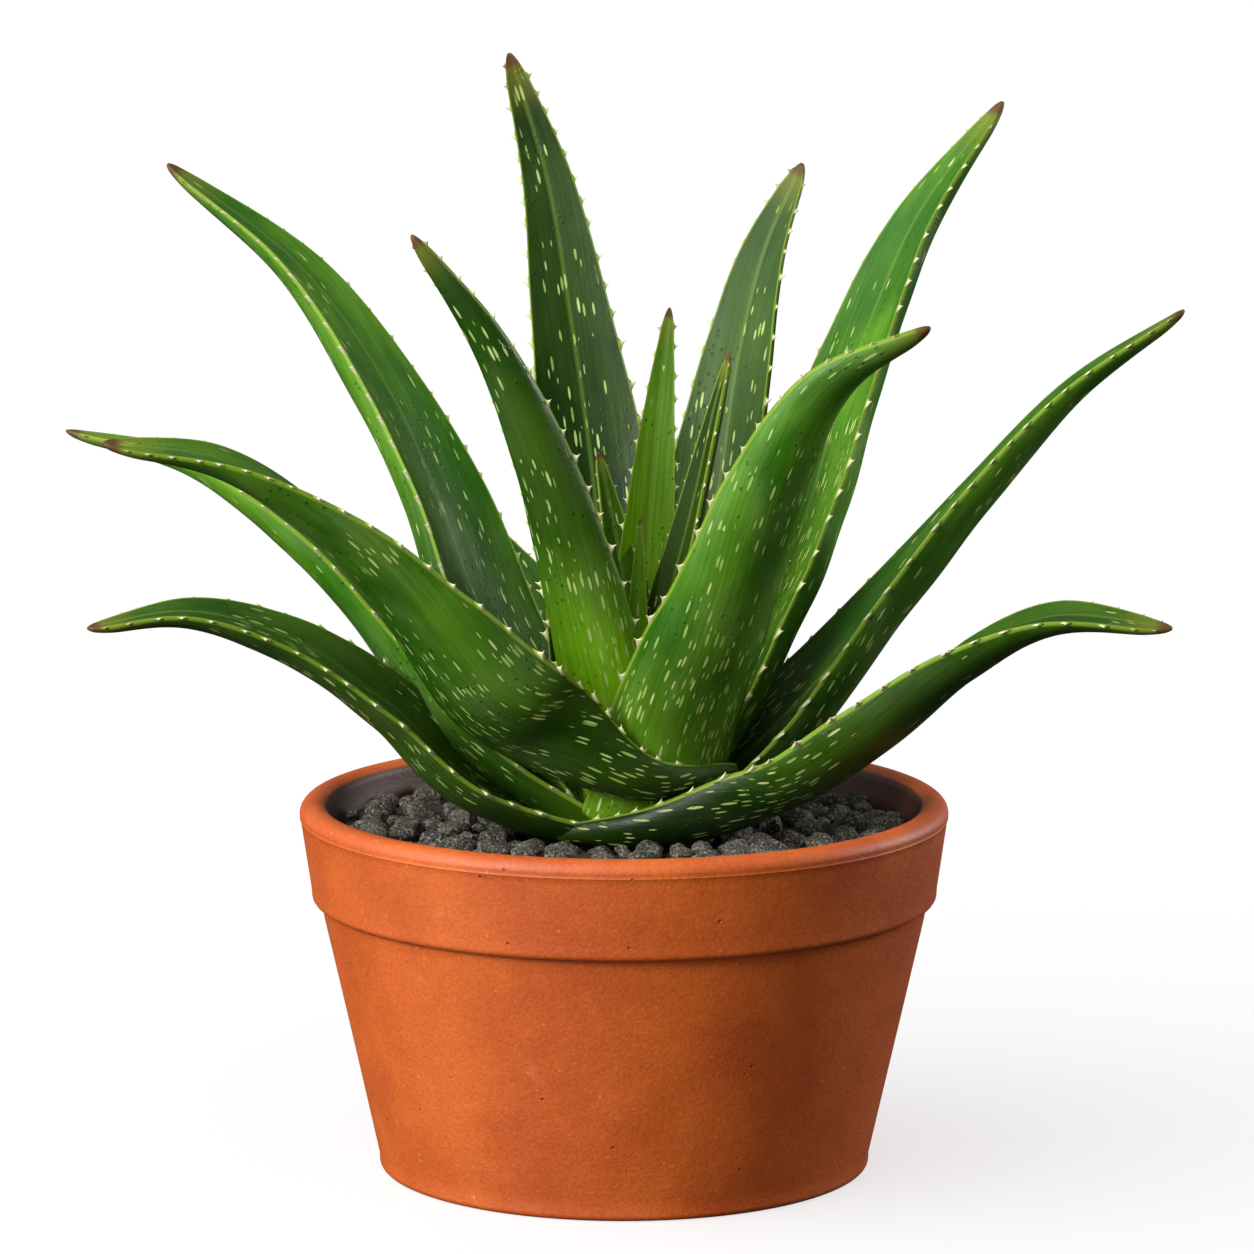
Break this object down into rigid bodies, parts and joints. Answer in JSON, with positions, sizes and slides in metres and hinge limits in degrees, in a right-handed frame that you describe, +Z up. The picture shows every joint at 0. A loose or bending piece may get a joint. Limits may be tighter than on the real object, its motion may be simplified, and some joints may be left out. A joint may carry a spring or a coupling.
{
  "type": "potted aloe plant",
  "caption": "Aloe with thick, spine-edged, pale-flecked leaves in a rosette, growing in a low terracotta pot topped with dark gravel.",
  "frame": {"origin": "centre of the pot's flat underside, on the surface that the pot stands on", "axes": "+Z up along the pot's axis, -Y towards the front, the side where the front leaf's back is seen, +X to the right"},
  "size_m": [0.3434, 0.2243, 0.3392],
  "materials": {
    "terracotta": "matt unglazed fired clay, finely speckled",
    "soil": "damp crumbly soil",
    "gravel": "dark porous lava gravel, rough",
    "leaf": "living leaf: waxy green skin with pale flecks, pale toothed margins and brown dry tips",
    "stem": "living stem: pale green, smooth and slightly waxy"
  },
  "bodies": {
    "root": {"pot": "terracotta", "soil": "soil", "gravel_bed": "gravel", "stem": "stem", "leaf_heart_small": "leaf", "leaf_heart_left": "leaf", "leaf_heart_right": "leaf", "leaf_heart_tall": "leaf", "leaf_back_tall": "leaf", "leaf_back_right": "leaf", "leaf_front_left": "leaf", "leaf_left_high": "leaf", "leaf_right_high": "leaf", "leaf_rear_left": "leaf", "leaf_rear_right": "leaf", "leaf_front_right": "leaf", "leaf_right_middle": "leaf", "leaf_left_middle_rear": "leaf", "leaf_left_middle_front": "leaf", "leaf_right_low": "leaf", "leaf_left_low": "leaf", "gravel_stone_01": "gravel", "gravel_stone_02": "gravel", "gravel_stone_03": "gravel", "gravel_stone_04": "gravel", "gravel_stone_05": "gravel", "gravel_stone_06": "gravel", "gravel_stone_07": "gravel", "gravel_stone_08": "gravel", "gravel_stone_09": "gravel", "gravel_stone_10": "gravel", "gravel_stone_11": "gravel", "gravel_stone_12": "gravel", "gravel_stone_13": "gravel", "gravel_stone_14": "gravel", "gravel_stone_15": "gravel", "gravel_stone_16": "gravel", "gravel_stone_17": "gravel", "gravel_stone_18": "gravel", "gravel_stone_19": "gravel", "gravel_stone_20": "gravel", "gravel_stone_21": "gravel", "gravel_stone_22": "gravel", "gravel_stone_23": "gravel", "gravel_stone_24": "gravel", "gravel_stone_25": "gravel", "gravel_stone_26": "gravel", "gravel_stone_27": "gravel", "gravel_stone_28": "gravel", "gravel_stone_29": "gravel", "gravel_stone_30": "gravel", "gravel_stone_31": "gravel", "gravel_stone_32": "gravel", "gravel_stone_33": "gravel", "gravel_stone_34": "gravel", "gravel_stone_35": "gravel", "gravel_stone_36": "gravel", "gravel_stone_37": "gravel", "gravel_stone_38": "gravel"}
  },
  "joints": []
}
